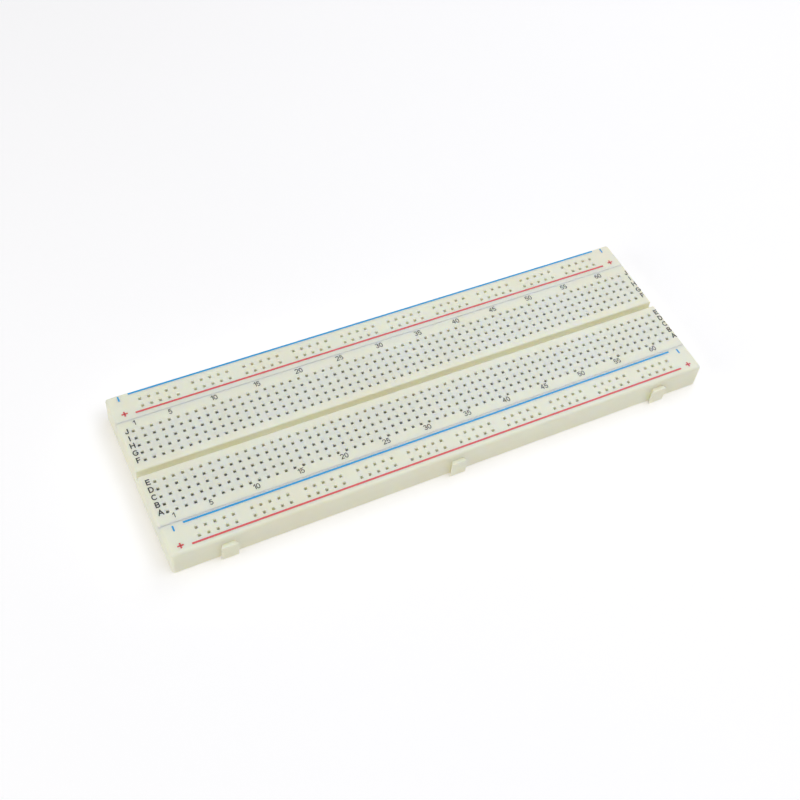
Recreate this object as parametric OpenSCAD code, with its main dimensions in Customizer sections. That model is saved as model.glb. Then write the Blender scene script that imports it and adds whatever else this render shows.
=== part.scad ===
// Solderless breadboard, 830 tie points: a terminal block with two bus
// blocks that hook onto it, spring contacts inside, and adhesive foam below.
// Millimetres. The origin is the centre of the underside, +X runs along the
// columns from 1 to 63, +Y runs from row A to row J, and +Z is up.

/* [Board] */
// Length of the three blocks
board_l = 165.1; // [165:0.1:170]
// Overall width across the three blocks
board_w = 54.6; // [54.5:0.1:58]
// Height of the tie-point face above the table
board_h = 8.5; // [8.4:0.1:10]
// How far the foam holds the plastic off the table
stand_h = 0.3; // [0.2:0.05:0.4]
// Width of the terminal block, with its half of each seam
terminal_w = 35.56; // [35.5:0.02:35.7]
// Open gap in the seam between two blocks
seam_gap = 0.04; // [0.04:0.02:0.2]
// Radius of the outer corners and of the outer top edges
corner_r = 0.9; // [0.4:0.1:1.2]

/* [Tie points] */
// Distance between neighbouring tie points
pitch = 2.54; // [2.54]
// Number of terminal columns
columns = 63; // [63]
// Tie points in one terminal column, and in one bus group
column_len = 5; // [5]
// Distance between the two rows beside the trough
bank_gap = 7.62; // [7.62]
// Number of five-point groups along a bus
bus_groups = 10; // [10]
// Width of a square hole
hole_w = 0.75; // [0.7:0.05:1]
// Width of the funnel at the top of a hole
funnel_w = 1.05; // [1.05:0.05:1.4]
// Depth of the funnel
funnel_d = 0.15; // [0.1:0.05:0.4]
// Thickness of the roof over the cavities of the terminal block
terminal_roof_t = 0.7; // [0.5:0.1:1.2]
// Thickness of the roof over the cavities of the bus blocks
bus_roof_t = 1.6; // [1:0.1:1.7]

/* [Centre trough] */
// Width of the trough between the two banks
trough_w = 1.6; // [1.4:0.1:3]
// Depth of the trough
trough_d = 3.0; // [2:0.1:4]
// Radius of the lip along each side of the trough
trough_lip_r = 0.5; // [0.2:0.05:0.6]

/* [Dovetails] */
// Distance between neighbouring tabs
tab_pitch = 67.2; // [60:0.1:70]
// Width of a tab at its outer face
tab_head_w = 4.9; // [4:0.1:5]
// Width of a tab where it meets the block
tab_neck_w = 3.4; // [2.8:0.1:3.6]
// How far a tab stands out
tab_reach = 1.2; // [1:0.05:1.3]
// Height of a tab
tab_h = 5.5; // [4:0.1:6]
// Room between a tab and its slot
tab_fit = 0.1; // [0.08:0.01:0.15]

/* [Contacts] */
// Thickness of the spring metal
metal_t = 0.2; // [0.15:0.01:0.25]
// Width across the two sides of a contact
clip_w = 1.7; // [1.6:0.05:1.8]
// Height of a contact
clip_h = 5.4; // [5:0.1:5.8]
// Length of one spring finger along its row
finger_l = 1.8; // [1.6:0.1:2]
// Height of the unbroken base below the fingers
base_h = 1.2; // [0.8:0.1:1.6]
// Opening between two fingers at the tip, where they pinch a wire
pinch_gap = 0.12; // [0.1:0.01:0.2]
// Room between a contact and its cavity, on each side
cavity_fit = 0.1; // [0.08:0.01:0.12]

/* [Foam base] */
// Depth of the recess under each block
recess_d = 0.7; // [0.6:0.05:0.8]
// Thickness of the release liner
liner_t = 0.1; // [0.08:0.01:0.15]
// Wall left round the recess along the length
recess_side = 2.0; // [1.9:0.1:2.2]
// Wall left round the recess at the two ends
recess_end = 1.2; // [1:0.1:1.4]
// Room between the foam and the recess wall
foam_fit = 0.1; // [0.05:0.05:0.2]

/* [Hidden] */
$fn = 32;
eps = 0.01;

block_h = board_h - stand_h;
terminal_body_w = terminal_w - seam_gap;
bus_body_w = (board_w - terminal_w - seam_gap) / 2;
bus_y = (board_w - bus_body_w) / 2;

bank_y = bank_gap / 2 + (column_len - 1) / 2 * pitch;
bus_points = bus_groups * column_len;
bus_span = (bus_groups * (column_len + 1) - 2) * pitch;
bus_rows = [-pitch / 2, pitch / 2];
// How far the root of a tab runs into its block
tab_root = 0.5;

// The contacts reach this far past the middle of their end tie points.
contact_over = 0.3;
cavity_w = clip_w + 2 * cavity_fit;
clip_l = (column_len - 1) * pitch + 2 * contact_over;
cavity_l = clip_l + 2 * cavity_fit;
bus_contact_l = bus_span + 2 * contact_over;
bus_cavity_l = bus_contact_l + 2 * cavity_fit;
foam_top = stand_h + recess_d;

clips_per_node = 9;

function column_x(n) = (n - (columns + 1) / 2) * pitch;
function bus_point_x(i) = (i + floor(i / column_len)) * pitch - bus_span / 2;
column_xs = [for (n = [1 : columns]) column_x(n)];
bank_rows = [
    for (bank = [-1, 1], r = [0 : column_len - 1])
        bank * bank_y + (r - (column_len - 1) / 2) * pitch
];

module moulded() color([0.87, 0.865, 0.80]) children();
module spring_metal() color([0.78, 0.74, 0.62]) children();
module foam() color([0.93, 0.92, 0.88]) children();
module liner_paper() color([0.95, 0.93, 0.84]) children();

// The sliver outside a radius r in the corner of two faces that meet at the
// origin, with the material in the quadrant -x, -y.
module corner_waste(r) {
    translate([-r, -r]) difference() {
        square(r + eps);
        circle(r);
    }
}

// Outline of a block; only the corners named in round_y (-1 front, 1 back)
// have a radius.
module block_outline(w, round_y) {
    difference() {
        square([board_l, w], center = true);
        for (sx = [-1, 1], sy = round_y)
            scale([sx, sy]) translate([board_l / 2, w / 2]) corner_waste(corner_r);
    }
}

// Waste along a top edge that runs along X, then along Y.
module top_edge_waste_x(l, r) {
    rotate([90, 0, 90]) linear_extrude(l, center = true) corner_waste(r);
}

module top_edge_waste_y(l, r) {
    rotate([90, 0, 0]) linear_extrude(l, center = true) corner_waste(r);
}

// Plan of one dovetail, its neck on the line y = 0 and its head towards -y,
// grown by g on every side.
module dovetail_plan(g) {
    polygon([
        [-tab_neck_w / 2 - g, tab_root], [tab_neck_w / 2 + g, tab_root],
        [tab_neck_w / 2 + g, 0], [tab_head_w / 2 + g, -tab_reach - g],
        [-tab_head_w / 2 - g, -tab_reach - g], [-tab_neck_w / 2 - g, 0]
    ]);
}

module dovetails(y, g) {
    for (i = [-1, 0, 1])
        translate([i * tab_pitch, y, stand_h - g])
            linear_extrude(tab_h + 2 * g) dovetail_plan(g);
}

// Section through a hole: straight up through a roof roof_t thick, then the
// funnel.
module hole_section(roof_t) {
    bottom = board_h - roof_t - eps;
    polygon([
        [-hole_w / 2, bottom], [hole_w / 2, bottom],
        [hole_w / 2, board_h - funnel_d], [funnel_w / 2, board_h],
        [funnel_w / 2, board_h + 1], [-funnel_w / 2, board_h + 1],
        [-funnel_w / 2, board_h], [-hole_w / 2, board_h - funnel_d]
    ]);
}

// Square holes where the columns xs cross the rows ys.
module holes(xs, ys, roof_t) {
    intersection() {
        for (x = xs)
            translate([x, 0, 0]) rotate([90, 0, 0])
                linear_extrude(board_w, center = true) hole_section(roof_t);
        for (y = ys)
            translate([0, y, 0]) rotate([90, 0, 90])
                linear_extrude(board_l, center = true) hole_section(roof_t);
    }
}

// A block w wide at its place on the board, with its recess, tabs and slots.
// round_y names its rounded sides: -1 front, 1 back.
module block_shell(w, y, round_y) {
    difference() {
        union() {
            translate([0, y, stand_h]) linear_extrude(block_h) block_outline(w, round_y);
            dovetails(y - w / 2, 0);
        }
        dovetails(y + w / 2 + seam_gap, tab_fit);
        translate([-board_l / 2 + recess_end, y - w / 2 + recess_side, 0])
            cube([board_l - 2 * recess_end, w - 2 * recess_side, foam_top]);
        for (s = round_y)
            translate([0, y + s * w / 2, board_h])
                mirror([0, s < 0 ? 1 : 0, 0]) top_edge_waste_x(board_l + 1, corner_r);
        for (s = [-1, 1])
            translate([s * board_l / 2, y, board_h])
                mirror([s < 0 ? 1 : 0, 0, 0]) top_edge_waste_y(w + 1, corner_r);
    }
}

module terminal_block() moulded() {
    difference() {
        block_shell(terminal_body_w, 0, []);
        holes(column_xs, bank_rows, terminal_roof_t);
        for (x = column_xs, bank = [-1, 1])
            translate([x - cavity_w / 2, bank * bank_y - cavity_l / 2, stand_h])
                cube([cavity_w, cavity_l, block_h - terminal_roof_t]);
        translate([-board_l / 2 - 1, -trough_w / 2, board_h - trough_d])
            cube([board_l + 2, trough_w, trough_d + 1]);
        for (s = [-1, 1])
            translate([0, s * trough_w / 2, board_h])
                mirror([0, s > 0 ? 1 : 0, 0]) top_edge_waste_x(board_l + 1, trough_lip_r);
    }
}

module bus_block(y, round_y) moulded() {
    difference() {
        block_shell(bus_body_w, y, round_y);
        translate([0, y, 0]) {
            holes([for (i = [0 : bus_points - 1]) bus_point_x(i)], bus_rows, bus_roof_t);
            for (r = bus_rows)
                translate([-bus_cavity_l / 2, r - cavity_w / 2, stand_h])
                    cube([bus_cavity_l, cavity_w, block_h - bus_roof_t]);
        }
    }
}

module front_bus_block() bus_block(-bus_y, [-1]);
module rear_bus_block() bus_block(bus_y, [1]);

// Section through a spring contact: a flat base and two leaves that lean in
// until their tips pinch.
module contact_section() {
    right = [
        [clip_w / 2, 0], [pinch_gap / 2 + metal_t, clip_h],
        [pinch_gap / 2, clip_h], [clip_w / 2 - metal_t, metal_t]
    ];
    left = [for (i = [len(right) - 1 : -1 : 0]) [-right[i].x, right[i].y]];
    polygon(concat(right, left));
}

// One contact along X, l long, with a pair of fingers at each of points.
module contact(points, l) {
    spring_metal() difference() {
        rotate([90, 0, 90]) linear_extrude(l, center = true) contact_section();
        for (i = [0 : len(points) - 2]) {
            gap_start = points[i] + finger_l / 2;
            gap_end = points[i + 1] - finger_l / 2;
            translate([gap_start, -clip_w, base_h])
                cube([gap_end - gap_start, 2 * clip_w, clip_h]);
        }
    }
}

module clip_group(bank, first) {
    points = [for (r = [0 : column_len - 1]) (r - (column_len - 1) / 2) * pitch];
    for (n = [first : first + clips_per_node - 1])
        translate([column_x(n), bank * bank_y, foam_top])
            rotate([0, 0, 90]) contact(points, clip_l);
}

module clips_a_e_1_9() clip_group(-1, 1);
module clips_a_e_10_18() clip_group(-1, 10);
module clips_a_e_19_27() clip_group(-1, 19);
module clips_a_e_28_36() clip_group(-1, 28);
module clips_a_e_37_45() clip_group(-1, 37);
module clips_a_e_46_54() clip_group(-1, 46);
module clips_a_e_55_63() clip_group(-1, 55);
module clips_f_j_1_9() clip_group(1, 1);
module clips_f_j_10_18() clip_group(1, 10);
module clips_f_j_19_27() clip_group(1, 19);
module clips_f_j_28_36() clip_group(1, 28);
module clips_f_j_37_45() clip_group(1, 37);
module clips_f_j_46_54() clip_group(1, 46);
module clips_f_j_55_63() clip_group(1, 55);

module bus_contact(y) {
    translate([0, y, foam_top])
        contact([for (i = [0 : bus_points - 1]) bus_point_x(i)], bus_contact_l);
}

module front_bus_contact_minus() bus_contact(-bus_y + pitch / 2);
module front_bus_contact_plus() bus_contact(-bus_y - pitch / 2);
module rear_bus_contact_minus() bus_contact(bus_y + pitch / 2);
module rear_bus_contact_plus() bus_contact(bus_y - pitch / 2);

// A sheet that fits the recess of a block w wide, from z0 up, t thick.
module base_sheet(w, y, z0, t) {
    translate([0, y, z0 + t / 2])
        cube([
            board_l - 2 * (recess_end + foam_fit),
            w - 2 * (recess_side + foam_fit), t
        ], center = true);
}

module foam_pad(w, y) foam() base_sheet(w, y, liner_t, foam_top - liner_t);
module release_liner(w, y) liner_paper() base_sheet(w, y, 0, liner_t);

module terminal_foam_pad() foam_pad(terminal_body_w, 0);
module front_bus_foam_pad() foam_pad(bus_body_w, -bus_y);
module rear_bus_foam_pad() foam_pad(bus_body_w, bus_y);
module terminal_release_liner() release_liner(terminal_body_w, 0);
module front_bus_release_liner() release_liner(bus_body_w, -bus_y);
module rear_bus_release_liner() release_liner(bus_body_w, bus_y);

terminal_block();
front_bus_block();
rear_bus_block();
clips_a_e_1_9();
clips_a_e_10_18();
clips_a_e_19_27();
clips_a_e_28_36();
clips_a_e_37_45();
clips_a_e_46_54();
clips_a_e_55_63();
clips_f_j_1_9();
clips_f_j_10_18();
clips_f_j_19_27();
clips_f_j_28_36();
clips_f_j_37_45();
clips_f_j_46_54();
clips_f_j_55_63();
front_bus_contact_minus();
front_bus_contact_plus();
rear_bus_contact_minus();
rear_bus_contact_plus();
terminal_foam_pad();
front_bus_foam_pad();
rear_bus_foam_pad();
terminal_release_liner();
front_bus_release_liner();
rear_bus_release_liner();
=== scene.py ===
"""Looks for the solderless breadboard: the three ivory mouldings with their
printed legend, the spring contacts inside, and the foam and liners below.
Metres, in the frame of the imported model."""

import math

import bmesh
import bpy
from mathutils import Matrix, Vector

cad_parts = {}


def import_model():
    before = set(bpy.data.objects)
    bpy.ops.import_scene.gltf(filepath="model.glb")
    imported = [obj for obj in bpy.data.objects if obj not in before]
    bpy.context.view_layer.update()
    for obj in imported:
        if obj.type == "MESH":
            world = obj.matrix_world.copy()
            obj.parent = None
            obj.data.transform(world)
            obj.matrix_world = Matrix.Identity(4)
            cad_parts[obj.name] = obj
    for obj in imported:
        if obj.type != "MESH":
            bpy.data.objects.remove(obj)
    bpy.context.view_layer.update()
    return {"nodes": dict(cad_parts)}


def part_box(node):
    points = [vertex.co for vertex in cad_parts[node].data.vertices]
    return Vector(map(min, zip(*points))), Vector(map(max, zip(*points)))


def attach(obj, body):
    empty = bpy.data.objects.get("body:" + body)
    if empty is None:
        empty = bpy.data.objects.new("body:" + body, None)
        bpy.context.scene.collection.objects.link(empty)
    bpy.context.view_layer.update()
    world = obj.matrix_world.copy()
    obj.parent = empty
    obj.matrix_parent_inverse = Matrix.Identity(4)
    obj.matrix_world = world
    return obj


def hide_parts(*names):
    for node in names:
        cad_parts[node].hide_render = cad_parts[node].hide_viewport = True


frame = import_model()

MM = 0.001

# Tie-point grid
PITCH = 2.54 * MM
COLUMNS = 63
COLUMN_LEN = 5
BANK_GAP = 7.62 * MM
BUS_GROUPS = 10
BUS_POINTS = BUS_GROUPS * COLUMN_LEN
BUS_SPAN = (BUS_GROUPS * (COLUMN_LEN + 1) - 2) * PITCH

# Holes and the cavities under them
HOLE_W = 0.75 * MM
FUNNEL_W = 1.05 * MM
FUNNEL_D = 0.15 * MM
FUNNEL_LIP_R = 0.06 * MM
ROOF_T = 0.7 * MM
BUS_ROOF_T = 1.6 * MM
CAVITY_W = 1.9 * MM
CAVITY_OVER = 0.4 * MM
RECESS_TOP = 1.0 * MM

# Trough
TROUGH_W = 1.6 * MM
TROUGH_D = 3.0 * MM
TROUGH_LIP_R = 0.5 * MM
TROUGH_FLOOR_R = 0.35 * MM
TROUGH_MOUTH_R = 0.5 * MM

# Edges of the mouldings
OUTER_R = 0.9 * MM
SEAM_R = 0.02 * MM
FOOT_R = 0.15 * MM
SEAM_GAP = 0.04 * MM

# Dovetails
TAB_PITCH = 67.2 * MM
TAB_HEAD_W = 4.9 * MM
TAB_NECK_W = 3.4 * MM
TAB_REACH = 1.2 * MM
TAB_ROOT = 0.5 * MM
TAB_H = 5.5 * MM
TAB_FIT = 0.1 * MM
TAB_EDGE_R = 0.15 * MM

# Recess under each block
RECESS_SIDE = 2.0 * MM
RECESS_END = 1.2 * MM

# Foam and liners
SHEET_CORNER_R = 1.0 * MM
FOAM_EDGE_R = 0.2 * MM
LINER_EDGE_R = 0.03 * MM

# Ink, and its cross-section
INK_T = 0.02 * MM
INK_SUNK = 0.01 * MM
INK_SHOULDER = INK_T * 0.6
INK_FLAT = 0.7

# Printed signs
LETTER_H = 1.5 * MM
DIGIT_H = 1.45 * MM
LETTER_STROKE = 0.3 * MM
DIGIT_STROKE = 0.2 * MM
BUS_LINE_W = 0.56 * MM
SIGN_W = 0.45 * MM
SIGN_L = 1.7 * MM

# Places of the printing; DY is from the middle of a bus block
LETTER_X = (-80.45 * MM, 81.4 * MM)
LETTER_DY = 0.35 * MM
NUMBER_STEP = 5
NUMBER_DX = 1.1 * MM
NUMBER_Y = (-15.65 * MM, 16.4 * MM)
BUS_LINE_X = 76.2 * MM
RED_DY = -2.95 * MM
BLUE_DY = 3.93 * MM
SIGN_X = 79.1 * MM
MINUS_DY = 3.1 * MM
PLUS_DY = -2.4 * MM

# Meshing
OVERCUT = 0.1 * MM
CLEAR = 1.0 * MM
MERGE_DIST = 1e-7
CORNER_STEPS = 6
FILLET_STEPS = 6
FUNNEL_STEPS = 3
TROUGH_STEPS = 5
MOUTH_STEPS = 6
TAB_EDGE_STEPS = 3
SHEET_CORNER_STEPS = 5
SHEET_EDGE_TURNS = [math.radians(a) for a in (90, 60, 30, 0)]
CAP_TURNS = [math.radians(a) for a in (30, 60, 85)]
MITRE_LIMIT = 0.35
FLAT_FACE_WEIGHT = 90
MOULDING_SHARP_DEG = 25
SHEET_SHARP_DEG = 40

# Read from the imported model
terminal_lo, terminal_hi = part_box("terminal_block")
front_lo, front_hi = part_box("front_bus_block")
rear_lo, rear_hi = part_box("rear_bus_block")
HALF_L = terminal_hi.x
FOOT_Z = terminal_lo.z
FACE_Z = terminal_hi.z - INK_T
TERMINAL_Y = (-terminal_hi.y, terminal_hi.y)
FRONT_Y = (front_lo.y + TAB_REACH, front_hi.y)
REAR_Y = (rear_lo.y + TAB_REACH, rear_hi.y)


def column_x(n):
    return (n - (COLUMNS + 1) / 2) * PITCH


def bus_x(i):
    return (i + i // COLUMN_LEN) * PITCH - BUS_SPAN / 2


def bank_y(bank):
    """Middle of a bank: -1 is A to E, 1 is F to J."""
    return bank * (BANK_GAP / 2 + (COLUMN_LEN - 1) / 2 * PITCH)


def row_ys(bank):
    return [bank_y(bank) + (r - (COLUMN_LEN - 1) / 2) * PITCH for r in range(COLUMN_LEN)]


def middle(span):
    return (span[0] + span[1]) / 2


# --------------------------------------------------------------- mesh tools


def quarter_turn(steps):
    return [math.pi / 2 * k / steps for k in range(steps + 1)]


def corner_turns(steps):
    """Angle and corner signs for each point of a loop with four round corners."""
    for quadrant in range(4):
        mid = math.radians(90 * quadrant + 45)
        sx, sy = math.copysign(1, math.cos(mid)), math.copysign(1, math.sin(mid))
        for step in range(steps + 1):
            yield math.radians(90 * (quadrant + step / steps)), sx, sy


def link(name, bm):
    """A new object that holds the mesh built in bm."""
    bmesh.ops.recalc_face_normals(bm, faces=bm.faces)
    mesh = bpy.data.meshes.new(name)
    bm.to_mesh(mesh)
    bm.free()
    obj = bpy.data.objects.new(name, mesh)
    bpy.context.scene.collection.objects.link(obj)
    return obj


def bridge(bm, low, high):
    """The faces between two loops of equal length."""
    n = len(low)
    for i in range(n):
        j = (i + 1) % n
        bm.faces.new((low[i], low[j], high[j], high[i]))


def add_rings(bm, rings, closed=False):
    """A solid through rings of equal length, capped at both ends unless closed."""
    loops = [[bm.verts.new(p) for p in ring] for ring in rings]
    for low, high in zip(loops, loops[1:]):
        bridge(bm, low, high)
    if closed:
        bridge(bm, loops[-1], loops[0])
    else:
        bm.faces.new(reversed(loops[0]))
        bm.faces.new(loops[-1])


def add_box(bm, low, high):
    plan = [(low[0], low[1]), (high[0], low[1]), (high[0], high[1]), (low[0], high[1])]
    add_rings(bm, [[(x, y, z) for x, y in plan] for z in (low[2], high[2])])


def combine(target, bm, operation):
    """Adds or cuts the solids in bm, and keeps the result in target's mesh."""
    tool = link("tool", bm)
    modifier = target.modifiers.new("combine", "BOOLEAN")
    modifier.operation = operation
    modifier.solver = "MANIFOLD"
    modifier.object = tool
    bpy.context.view_layer.update()
    result = target.evaluated_get(bpy.context.evaluated_depsgraph_get())
    mesh = bpy.data.meshes.new_from_object(result)
    target.modifiers.clear()
    old = target.data
    target.data = mesh
    mesh.name = target.name
    bpy.data.meshes.remove(old)
    tool_mesh = tool.data
    bpy.data.objects.remove(tool)
    bpy.data.meshes.remove(tool_mesh)


def shade(obj, sharp_deg):
    """Round faces shade smoothly, flat ones stay flat."""
    obj.data.shade_smooth()
    obj.data.set_sharp_from_angle(angle=math.radians(sharp_deg))
    weigh = obj.modifiers.new("flat faces", "WEIGHTED_NORMAL")
    weigh.keep_sharp = True
    weigh.weight = FLAT_FACE_WEIGHT


# ---------------------------------------------------------------- mouldings


def block_ring(span, r_front, r_back, turn, foot):
    """One loop round a block. turn is the angle in the rounding of the edge, from
    0 on the wall to a right angle on the face; foot says that the loop belongs to
    the bottom edge."""
    ring = []
    for a, sx, sy in corner_turns(CORNER_STEPS):
        rx, ry = OUTER_R, r_back if sy > 0 else r_front
        edge_x, edge_y = (min(rx, FOOT_R), min(ry, FOOT_R)) if foot else (rx, ry)
        inset = 1 - math.cos(turn)
        wall_y = span[1] if sy > 0 else span[0]
        x = sx * (HALF_L - rx) + (rx - edge_x * inset) * math.cos(a)
        y = wall_y - sy * ry + (ry - edge_y * inset) * math.sin(a)
        depth = edge_x * math.cos(a) ** 2 + edge_y * math.sin(a) ** 2
        rise = depth * (1 - math.sin(turn))
        ring.append((x, y, FOOT_Z + rise if foot else FACE_Z - rise))
    return ring


def rounded_block(name, span, r_front, r_back):
    turns = [math.radians(90 * k / FILLET_STEPS) for k in range(FILLET_STEPS + 1)]
    rings = [block_ring(span, r_front, r_back, t, True) for t in reversed(turns[::2])]
    rings += [block_ring(span, r_front, r_back, t, False) for t in turns]
    bm = bmesh.new()
    add_rings(bm, rings)
    bmesh.ops.remove_doubles(bm, verts=bm.verts, dist=MERGE_DIST)
    bmesh.ops.dissolve_degenerate(bm, dist=MERGE_DIST, edges=bm.edges)
    return link(name, bm)


def dovetail_plan(grow):
    half_neck, half_head = TAB_NECK_W / 2 + grow, TAB_HEAD_W / 2 + grow
    out = TAB_REACH + grow
    return [(half_neck, TAB_ROOT), (-half_neck, TAB_ROOT), (-half_neck, 0),
            (-half_head, -out), (half_head, -out), (half_neck, 0)]


def dovetails(y, grow):
    """Three dovetails with their necks on the line y. With no growth they are tabs
    with rounded edges; grown, they are the cutters of slots, open at the foot."""
    tabs = grow == 0
    bm = bmesh.new()
    low = FOOT_Z if tabs else FOOT_Z - CLEAR
    high = FOOT_Z + TAB_H + grow
    for i in (-1, 0, 1):
        place = Vector((i * TAB_PITCH, y))
        plan = [Vector(p) + place for p in dovetail_plan(grow)]
        add_rings(bm, [[(p.x, p.y, z) for p in plan] for z in (low, high)])
    if tabs:
        edges = [e for e in bm.edges if min(v.co.y for v in e.verts) < y - TAB_REACH / 2]
        bmesh.ops.bevel(bm, geom=edges, offset=TAB_EDGE_R, segments=TAB_EDGE_STEPS,
                        profile=0.5, affect="EDGES", clamp_overlap=True)
    return bm


def recess(span):
    bm = bmesh.new()
    add_box(bm, (-HALF_L + RECESS_END, span[0] + RECESS_SIDE, -CLEAR),
            (HALF_L - RECESS_END, span[1] - RECESS_SIDE, RECESS_TOP))
    return bm


def hole_profile(roof_t):
    """Half-width and height of a square hole, from the cavity to above the face."""
    half_hole, half_mouth = HOLE_W / 2, FUNNEL_W / 2
    slope = math.atan2(half_mouth - half_hole, FUNNEL_D)
    bend = math.pi / 2 - slope
    tangent = FUNNEL_LIP_R * math.tan(bend / 2)
    profile = [(half_hole, terminal_hi.z - roof_t - OVERCUT), (half_hole, FACE_Z - FUNNEL_D)]
    for k in range(FUNNEL_STEPS + 1):
        a = slope + bend * k / FUNNEL_STEPS
        profile.append((half_mouth + tangent - FUNNEL_LIP_R * math.cos(a),
                        FACE_Z - FUNNEL_LIP_R * (1 - math.sin(a))))
    half_top, _ = profile[-1]
    profile.append((half_top, FACE_Z + CLEAR))
    return profile


def holes(points, roof_t):
    bm = bmesh.new()
    profile = hole_profile(roof_t)
    for x, y in points:
        add_rings(bm, [[(x - h, y - h, z), (x + h, y - h, z), (x + h, y + h, z),
                        (x - h, y + h, z)] for h, z in profile])
    return bm


def cavities(boxes, roof_t):
    """Cutters from the recess up to the roof; each box is its middle and its sides."""
    bm = bmesh.new()
    for cx, cy, lx, ly in boxes:
        add_box(bm, (cx - lx / 2, cy - ly / 2, RECESS_TOP - OVERCUT),
                (cx + lx / 2, cy + ly / 2, terminal_hi.z - roof_t))
    return bm


def trough():
    """The long cutter: rounded lips above, a rounded floor below."""
    lip = [(TROUGH_W / 2 + TROUGH_LIP_R * (1 - math.sin(a)),
            FACE_Z - TROUGH_LIP_R * (1 - math.cos(a))) for a in quarter_turn(TROUGH_STEPS)]
    base = [(TROUGH_W / 2 - TROUGH_FLOOR_R * (1 - math.cos(a)),
             FACE_Z - TROUGH_D + TROUGH_FLOOR_R * (1 - math.sin(a)))
            for a in quarter_turn(TROUGH_STEPS)]
    side = [(lip[0][0], FACE_Z + CLEAR)] + lip + base
    outline = side + [(-y, z) for y, z in reversed(side)]
    bm = bmesh.new()
    add_rings(bm, [[(x, y, z) for y, z in outline] for x in (-HALF_L - CLEAR, HALF_L + CLEAR)])
    return bm


def trough_mouths():
    """Cutters that round the four upright corners where the trough runs out."""
    r = TROUGH_MOUTH_R
    plan = [(OVERCUT, -OVERCUT), (-r, -OVERCUT)]
    plan += [(-r + r * math.sin(a), r - r * math.cos(a)) for a in quarter_turn(MOUTH_STEPS)]
    plan.append((OVERCUT, r))
    bm = bmesh.new()
    for sx in (-1, 1):
        for sy in (-1, 1):
            add_rings(bm, [[(sx * (HALF_L + u), sy * (TROUGH_W / 2 + v), z) for u, v in plan]
                           for z in (FACE_Z - TROUGH_D + TROUGH_FLOOR_R, FACE_Z + CLEAR)])
    return bm


def bare_block(name, span, r_front, r_back):
    """A moulding with its tabs, slots and recess."""
    obj = rounded_block(name, span, r_front, r_back)
    combine(obj, dovetails(span[0], 0), "UNION")
    combine(obj, dovetails(span[1] + SEAM_GAP, TAB_FIT), "DIFFERENCE")
    combine(obj, recess(span), "DIFFERENCE")
    return obj


def terminal_moulding():
    obj = bare_block("terminal_moulding", TERMINAL_Y, SEAM_R, SEAM_R)
    columns = [column_x(n) for n in range(1, COLUMNS + 1)]
    column_l = (COLUMN_LEN - 1) * PITCH + 2 * CAVITY_OVER
    boxes = [(x, bank_y(b), CAVITY_W, column_l) for x in columns for b in (-1, 1)]
    points = [(x, y) for x in columns for b in (-1, 1) for y in row_ys(b)]
    combine(obj, cavities(boxes, ROOF_T), "DIFFERENCE")
    combine(obj, trough(), "DIFFERENCE")
    combine(obj, trough_mouths(), "DIFFERENCE")
    combine(obj, holes(points, ROOF_T), "DIFFERENCE")
    shade(obj, MOULDING_SHARP_DEG)
    return obj


def bus_moulding(name, span, r_front, r_back):
    obj = bare_block(name, span, r_front, r_back)
    rows = [middle(span) - PITCH / 2, middle(span) + PITCH / 2]
    boxes = [(0, y, BUS_SPAN + 2 * CAVITY_OVER, CAVITY_W) for y in rows]
    points = [(bus_x(i), y) for i in range(BUS_POINTS) for y in rows]
    combine(obj, cavities(boxes, BUS_ROOF_T), "DIFFERENCE")
    combine(obj, holes(points, BUS_ROOF_T), "DIFFERENCE")
    shade(obj, MOULDING_SHARP_DEG)
    return obj


# ------------------------------------------------------------------- legend


def arc(cx, cy, rx, ry, start, end, steps=10):
    angles = [math.radians(start + (end - start) * k / steps) for k in range(steps + 1)]
    return [(cx + rx * math.cos(a), cy + ry * math.sin(a)) for a in angles]


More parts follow.
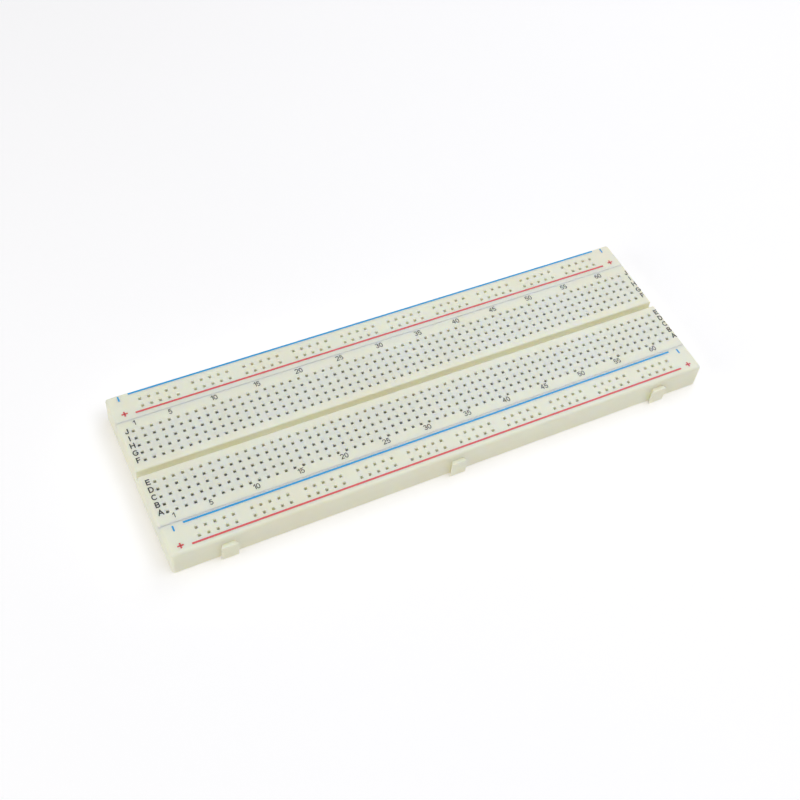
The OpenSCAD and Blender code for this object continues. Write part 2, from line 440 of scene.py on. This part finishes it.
# Each glyph: its width, then its strokes, for a height of 1.
GLYPHS = {
    "A": (0.84, [[(0, 0), (0.42, 1), (0.84, 0)], [(0.14, 0.33), (0.7, 0.33)]]),
    "B": (0.64, [[(0, 0), (0, 1), (0.36, 1)] + arc(0.36, 0.765, 0.22, 0.235, 90, -90) + [(0, 0.53)],
                 [(0.36, 0.53)] + arc(0.37, 0.265, 0.27, 0.265, 90, -90) + [(0, 0)]]),
    "C": (0.8, [arc(0.42, 0.5, 0.42, 0.5, 48, 312, 18)]),
    "D": (0.72, [[(0, 0), (0, 1), (0.3, 1)] + arc(0.3, 0.5, 0.42, 0.5, 90, -90) + [(0, 0)]]),
    "E": (0.6, [[(0.6, 1), (0, 1), (0, 0), (0.6, 0)], [(0, 0.52), (0.54, 0.52)]]),
    "F": (0.56, [[(0.56, 1), (0, 1), (0, 0)], [(0, 0.52), (0.48, 0.52)]]),
    "G": (0.82, [arc(0.42, 0.5, 0.42, 0.5, 48, 340, 18) + [(0.82, 0.47), (0.5, 0.47)]]),
    "H": (0.7, [[(0, 0), (0, 1)], [(0.7, 0), (0.7, 1)], [(0, 0.52), (0.7, 0.52)]]),
    "I": (0.0, [[(0, 0), (0, 1)]]),
    "J": (0.46, [[(0.46, 1)] + arc(0.23, 0.24, 0.23, 0.24, 0, -180)]),
    "0": (0.58, [arc(0.29, 0.5, 0.29, 0.5, 0, 360, 20)]),
    "1": (0.3, [[(0, 0.74), (0.3, 1), (0.3, 0)]]),
    "2": (0.58, [arc(0.29, 0.72, 0.28, 0.28, 165, -35) + [(0, 0), (0.58, 0)]]),
    "3": (0.56, [arc(0.27, 0.76, 0.25, 0.24, 150, -90), arc(0.27, 0.26, 0.29, 0.26, 90, -150)]),
    "4": (0.62, [[(0.46, 0), (0.46, 1), (0, 0.32), (0.62, 0.32)]]),
    "5": (0.56, [[(0.52, 1), (0.1, 1), (0.05, 0.53)] + arc(0.27, 0.32, 0.29, 0.32, 120, -145)]),
    "6": (0.58, [arc(0.29, 0.31, 0.29, 0.31, 0, 360, 18), arc(0.56, 0.35, 0.56, 0.64, 105, 180)]),
}
GLYPH_GAP = 0.24

# Across a stroke: sideways in half-widths, then the height above the face
INK_SECTION = ((-1, -INK_SUNK), (-1, INK_SHOULDER), (-INK_FLAT, INK_T),
               (INK_FLAT, INK_T), (1, INK_SHOULDER), (1, -INK_SUNK))


def left_of(direction):
    return Vector((-direction.y, direction.x))


def cap(end, outward, side, half):
    """The stations of a round end."""
    return [(end + outward * half * math.sin(a), side * math.cos(a)) for a in CAP_TURNS]


def add_stroke(bm, points, width, round_ends=True):
    """One flat ribbon of ink along points, with mitred bends and a domed top."""
    path = [Vector(p) for p in points]
    path = [p for i, p in enumerate(path) if i == 0 or (p - path[i - 1]).length > MERGE_DIST]
    closed = (path[0] - path[-1]).length < MERGE_DIST
    if closed:
        path = path[:-1]
    n = len(path)
    half = width / 2
    stations = []
    for i, p in enumerate(path):
        ahead = path[(i + 1) % n] - p if closed or i < n - 1 else p - path[i - 1]
        behind = p - path[i - 1] if closed or i > 0 else ahead
        ahead, behind = ahead.normalized(), behind.normalized()
        side = left_of((ahead + behind).normalized())
        reach = half / max(MITRE_LIMIT, side.dot(left_of(ahead)))
        stations.append((p, side * reach))
    if round_ends and not closed:
        head = cap(path[0], (path[0] - path[1]).normalized(), stations[0][1], half)
        tail = cap(path[-1], (path[-1] - path[-2]).normalized(), stations[-1][1], half)
        stations = head[::-1] + stations + tail
    rings = [[(*(p + side * s), FACE_Z + z) for s, z in INK_SECTION] for p, side in stations]
    add_rings(bm, rings, closed)


def add_text(bm, text, x, y, height, stroke_w):
    """Text centred on x and y, upright towards +y."""
    widths = [GLYPHS[c][0] for c in text]
    total = sum(widths) + GLYPH_GAP * (len(text) - 1)
    pen = x - total * height / 2
    for c, w in zip(text, widths):
        for stroke in GLYPHS[c][1]:
            add_stroke(bm, [(pen + u * height, y + (v - 0.5) * height) for u, v in stroke],
                       stroke_w)
        pen += (w + GLYPH_GAP) * height


def terminal_legend():
    bm = bmesh.new()
    for letter, y in zip("ABCDEFGHIJ", row_ys(-1) + row_ys(1)):
        for x in LETTER_X:
            add_text(bm, letter, x, y + LETTER_DY, LETTER_H, LETTER_STROKE)
    for n in [1] + list(range(NUMBER_STEP, COLUMNS, NUMBER_STEP)):
        for y in NUMBER_Y:
            add_text(bm, str(n), column_x(n) + NUMBER_DX, y, DIGIT_H, DIGIT_STROKE)
    return link("row_and_column_legend", bm)


def bus_line(name, line_y, sign_y, plus):
    """A line along a bus, with a plus or minus sign past each end."""
    bm = bmesh.new()
    add_stroke(bm, [(-BUS_LINE_X, line_y), (BUS_LINE_X, line_y)], BUS_LINE_W, False)
    arm = SIGN_L / 2
    for x in (-SIGN_X, SIGN_X):
        add_stroke(bm, [(x, sign_y - arm), (x, sign_y + arm)], SIGN_W, False)
        if plus:
            add_stroke(bm, [(x - arm, sign_y), (x + arm, sign_y)], SIGN_W, False)
    return link(name, bm)


# ---------------------------------------------------------------- materials


class Nodes:
    """Adds nodes to a tree. Each method returns the socket that its node ends in."""

    def __init__(self, tree, coords):
        self.tree = tree
        self.coords = self.add("ShaderNodeTexCoord", {}).outputs[coords]

    def add(self, kind, inputs):
        node = self.tree.nodes.new(kind)
        self.fill(node, inputs)
        return node

    def fill(self, node, inputs):
        """Links the inputs that are given a socket, and sets the others."""
        for name, value in inputs.items():
            if isinstance(value, bpy.types.NodeSocket):
                self.tree.links.new(value, node.inputs[name])
            else:
                node.inputs[name].default_value = value

    def noise(self, scale, detail=3.0):
        inputs = {"Vector": self.coords, "Scale": scale, "Detail": detail}
        return self.add("ShaderNodeTexNoise", inputs).outputs["Fac"]

    def cells(self, scale):
        inputs = {"Vector": self.coords, "Scale": scale}
        return self.add("ShaderNodeTexVoronoi", inputs).outputs["Distance"]

    def height(self):
        """The Z of the coordinates."""
        return self.add("ShaderNodeSeparateXYZ", {"Vector": self.coords}).outputs["Z"]

    def ramp(self, value, stops):
        node = self.add("ShaderNodeValToRGB", {"Fac": value})
        for element, (at, colour) in zip(node.color_ramp.elements, stops):
            element.position, element.color = at, (*colour, 1)
        return node.outputs["Color"]

    def spread(self, value, low, high):
        inputs = {"Value": value, "To Min": low, "To Max": high}
        return self.add("ShaderNodeMapRange", inputs).outputs["Result"]

    def bump(self, height, distance, strength, under=None):
        """The normal over a height; under is the normal of a finer bump."""
        inputs = {"Height": height, "Distance": distance, "Strength": strength}
        if under:
            inputs["Normal"] = under
        return self.add("ShaderNodeBump", inputs).outputs["Normal"]


def new_material(name):
    mat = bpy.data.materials.new(name)
    mat.use_nodes = True
    return mat, Nodes(mat.node_tree, "Object"), mat.node_tree.nodes["Principled BSDF"]


def ivory_abs():
    mat, net, shader = new_material("ivory_abs")
    texture = net.bump(net.noise(9000, 2), 0.01 * MM, 0.25)
    net.fill(shader, {
        "Base Color": net.ramp(net.noise(60), [(0.3, (0.92, 0.883, 0.685)),
                                               (0.7, (0.965, 0.928, 0.74))]),
        "Roughness": net.spread(net.noise(300), 0.36, 0.5),
        "Normal": net.bump(net.noise(250), 0.03 * MM, 0.15, texture),
        "Subsurface Weight": 1.0,
        "Subsurface Radius": (1.0, 0.9, 0.65),
        "Subsurface Scale": 1.2 * MM,
        "IOR": 1.53,
    })
    return mat


def ink(name, colour, lighter):
    mat, net, shader = new_material(name)
    net.fill(shader, {
        "Base Color": net.ramp(net.noise(4000), [(0.35, colour), (0.75, lighter)]),
        "Roughness": net.spread(net.noise(1500), 0.35, 0.5),
        "Normal": net.bump(net.noise(6000), 0.005 * MM, 0.4),
    })
    return mat


def nickel():
    mat, net, shader = new_material("nickel_plate")
    net.fill(shader, {
        "Base Color": net.ramp(net.noise(700), [(0.3, (0.62, 0.58, 0.5)),
                                                (0.7, (0.74, 0.71, 0.64))]),
        "Roughness": net.spread(net.noise(2500), 0.22, 0.4),
        "Metallic": 1.0,
    })
    return mat


def foam():
    mat, net, shader = new_material("foam")
    cells = net.cells(3500)
    net.fill(shader, {
        # The pits of the cells are painted darker than their rims: painted shade in the hollows,
        # laid over the bumps of the same cells
        "Base Color": net.ramp(cells, [(0.0, (0.6, 0.58, 0.52)), (0.6, (0.82, 0.8, 0.74))]),
        "Normal": net.bump(cells, 0.06 * MM, 0.6),
        "Roughness": 0.85,
    })
    return mat


def liner_paper():
    mat, net, shader = new_material("liner_paper")
    net.fill(shader, {
        "Base Color": net.ramp(net.noise(900, 6), [(0.3, (0.8, 0.74, 0.6)),
                                                   (0.7, (0.87, 0.83, 0.71))]),
        "Normal": net.bump(net.noise(2500, 6), 0.02 * MM, 0.4),
        "Roughness": 0.55,
    })
    return mat


def floor_paint():
    mat, net, shader = new_material("floor")
    net.fill(shader, {
        "Base Color": net.ramp(net.noise(3), [(0.3, (0.95, 0.93, 0.89)),
                                              (0.7, (0.97, 0.95, 0.91))]),
        "Roughness": 0.9,
        "Emission Color": (1, 0.98, 0.94, 1),
        "Emission Strength": 0.19,
    })
    return mat


def paint(obj, mat):
    obj.data.materials.clear()
    obj.data.materials.append(mat)


# ------------------------------------------------------------- soft layers


def soft_sheet(name, node, edge_r):
    """A die-cut sheet the size of its CAD node, with soft edges."""
    lo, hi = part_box(node)
    insets = [edge_r * (1 - math.cos(t)) for t in SHEET_EDGE_TURNS]
    rises = [edge_r * (1 - math.sin(t)) for t in SHEET_EDGE_TURNS]
    levels = [(lo.z + rise, inset) for rise, inset in zip(rises, insets)]
    levels += [(hi.z - rise, inset) for rise, inset in zip(rises[::-1], insets[::-1])]
    rings = []
    for z, inset in levels:
        r = SHEET_CORNER_R - inset
        ring = []
        for a, sx, sy in corner_turns(SHEET_CORNER_STEPS):
            cx = hi.x - SHEET_CORNER_R if sx > 0 else lo.x + SHEET_CORNER_R
            cy = hi.y - SHEET_CORNER_R if sy > 0 else lo.y + SHEET_CORNER_R
            ring.append((cx + r * math.cos(a), cy + r * math.sin(a), z))
        rings.append(ring)
    bm = bmesh.new()
    add_rings(bm, rings)
    obj = link(name, bm)
    shade(obj, SHEET_SHARP_DEG)
    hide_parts(node)
    return obj


# ------------------------------------------------------------------- build


plastic = ivory_abs()
metal = nickel()
foam_mat = foam()
paper = liner_paper()
ink_black = ink("ink_black", (0.035, 0.032, 0.025), (0.06, 0.055, 0.045))
ink_red = ink("ink_red", (0.8, 0.095, 0.095), (0.88, 0.14, 0.13))
ink_blue = ink("ink_blue", (0.01, 0.35, 0.7), (0.03, 0.44, 0.8))

terminal = terminal_moulding()
front_bus = bus_moulding("front_bus_moulding", FRONT_Y, OUTER_R, SEAM_R)
rear_bus = bus_moulding("rear_bus_moulding", REAR_Y, SEAM_R, OUTER_R)
for piece, node, body in ((terminal, "terminal_block", "terminal"),
                          (front_bus, "front_bus_block", "front_bus"),
                          (rear_bus, "rear_bus_block", "rear_bus")):
    paint(piece, plastic)
    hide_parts(node)
    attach(piece, body)

legend = terminal_legend()
paint(legend, ink_black)
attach(legend, "terminal")
for body, span in (("front_bus", FRONT_Y), ("rear_bus", REAR_Y)):
    mid = middle(span)
    for colour, line_dy, sign_dy, mat in (("red", RED_DY, PLUS_DY, ink_red),
                                          ("blue", BLUE_DY, MINUS_DY, ink_blue)):
        marks = bus_line(f"{body}_{colour}_line", mid + line_dy, mid + sign_dy, colour == "red")
        paint(marks, mat)
        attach(marks, body)

for name, obj in frame["nodes"].items():
    if name.startswith("clips_") or "contact" in name:
        paint(obj, metal)

for body in ("terminal", "front_bus", "rear_bus"):
    pad = soft_sheet(f"{body}_foam", f"{body}_foam_pad", FOAM_EDGE_R)
    paint(pad, foam_mat)
    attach(pad, body)
    liner = soft_sheet(f"{body}_liner", f"{body}_release_liner", LINER_EDGE_R)
    paint(liner, paper)
    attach(liner, body)


# ------------------------------------------------------------------- stage


FLOOR_HALF = 4.0
FLOOR_CELLS = 6
FLOOR_Z = -0.02 * MM

AZIMUTH = math.radians(34.25)
ELEVATION = math.radians(50.98)
ROLL = math.radians(9.46)
AIM = Vector((8.1 * MM, -1.1 * MM, terminal_hi.z))
DISTANCE = 357 * MM
SENSOR_W = 36
LENS = 55.46
SHIFT = (-0.0529, -0.0295)
CLIP_START = 0.01

# Each light: place, width and depth, watts, colour
LIGHTS = {
    "key": ((0.38, 0.3, 0.5), (0.45, 0.4), 0.75, (0.94, 0.98, 1.08)),
    "front_top": ((0.22, -0.2, 0.6), (0.5, 0.3), 1.15, (0.94, 0.98, 1.08)),
    "left_fill": ((-0.6, -0.05, 0.3), (0.4, 0.3), 1.0, (0.97, 0.99, 1)),
}

# Sky colours by the height of the direction: low and even, then up to the zenith
SKY = [(0.5, (0.062, 0.05, 0.038)), (1.0, (1.0, 1.03, 1.12))]


def floor():
    bm = bmesh.new()
    bmesh.ops.create_grid(bm, x_segments=FLOOR_CELLS, y_segments=FLOOR_CELLS, size=FLOOR_HALF)
    obj = link("floor", bm)
    obj.location.z = FLOOR_Z
    obj.data.materials.append(floor_paint())


def world():
    scene = bpy.context.scene
    scene.world = bpy.data.worlds.new("world")
    scene.world.use_nodes = True
    tree = scene.world.node_tree
    net = Nodes(tree, "Generated")
    net.fill(tree.nodes["Background"], {"Color": net.ramp(net.height(), SKY)})
    scene.view_settings.view_transform = "Standard"


def camera():
    """Looks down along the azimuth and elevation, turned about its own axis."""
    forward = Vector((math.sin(AZIMUTH) * math.cos(ELEVATION),
                      math.cos(AZIMUTH) * math.cos(ELEVATION), -math.sin(ELEVATION)))
    level = forward.cross(Vector((0, 0, 1))).normalized()
    above = level.cross(forward)
    right = level * math.cos(ROLL) + above * math.sin(ROLL)
    up = right.cross(forward)
    data = bpy.data.cameras.new("camera")
    data.sensor_width = SENSOR_W
    data.lens = LENS
    data.shift_x, data.shift_y = SHIFT
    data.clip_start = CLIP_START
    obj = bpy.data.objects.new("camera", data)
    turn = Matrix((right, up, -forward)).transposed()
    obj.matrix_world = Matrix.Translation(AIM - forward * DISTANCE) @ turn.to_4x4()
    bpy.context.scene.collection.objects.link(obj)
    bpy.context.scene.camera = obj


def area_light(name, place, size, power, colour):
    """A rectangular light that faces the middle of the board."""
    data = bpy.data.lights.new(name, "AREA")
    data.shape = "RECTANGLE"
    data.size, data.size_y = size
    data.energy = power
    data.color = colour
    obj = bpy.data.objects.new(name, data)
    obj.location = place
    obj.rotation_euler = (-Vector(place)).to_track_quat("-Z", "Y").to_euler()
    bpy.context.scene.collection.objects.link(obj)


floor()
world()
camera()
for name, settings in LIGHTS.items():
    area_light(name, *settings)
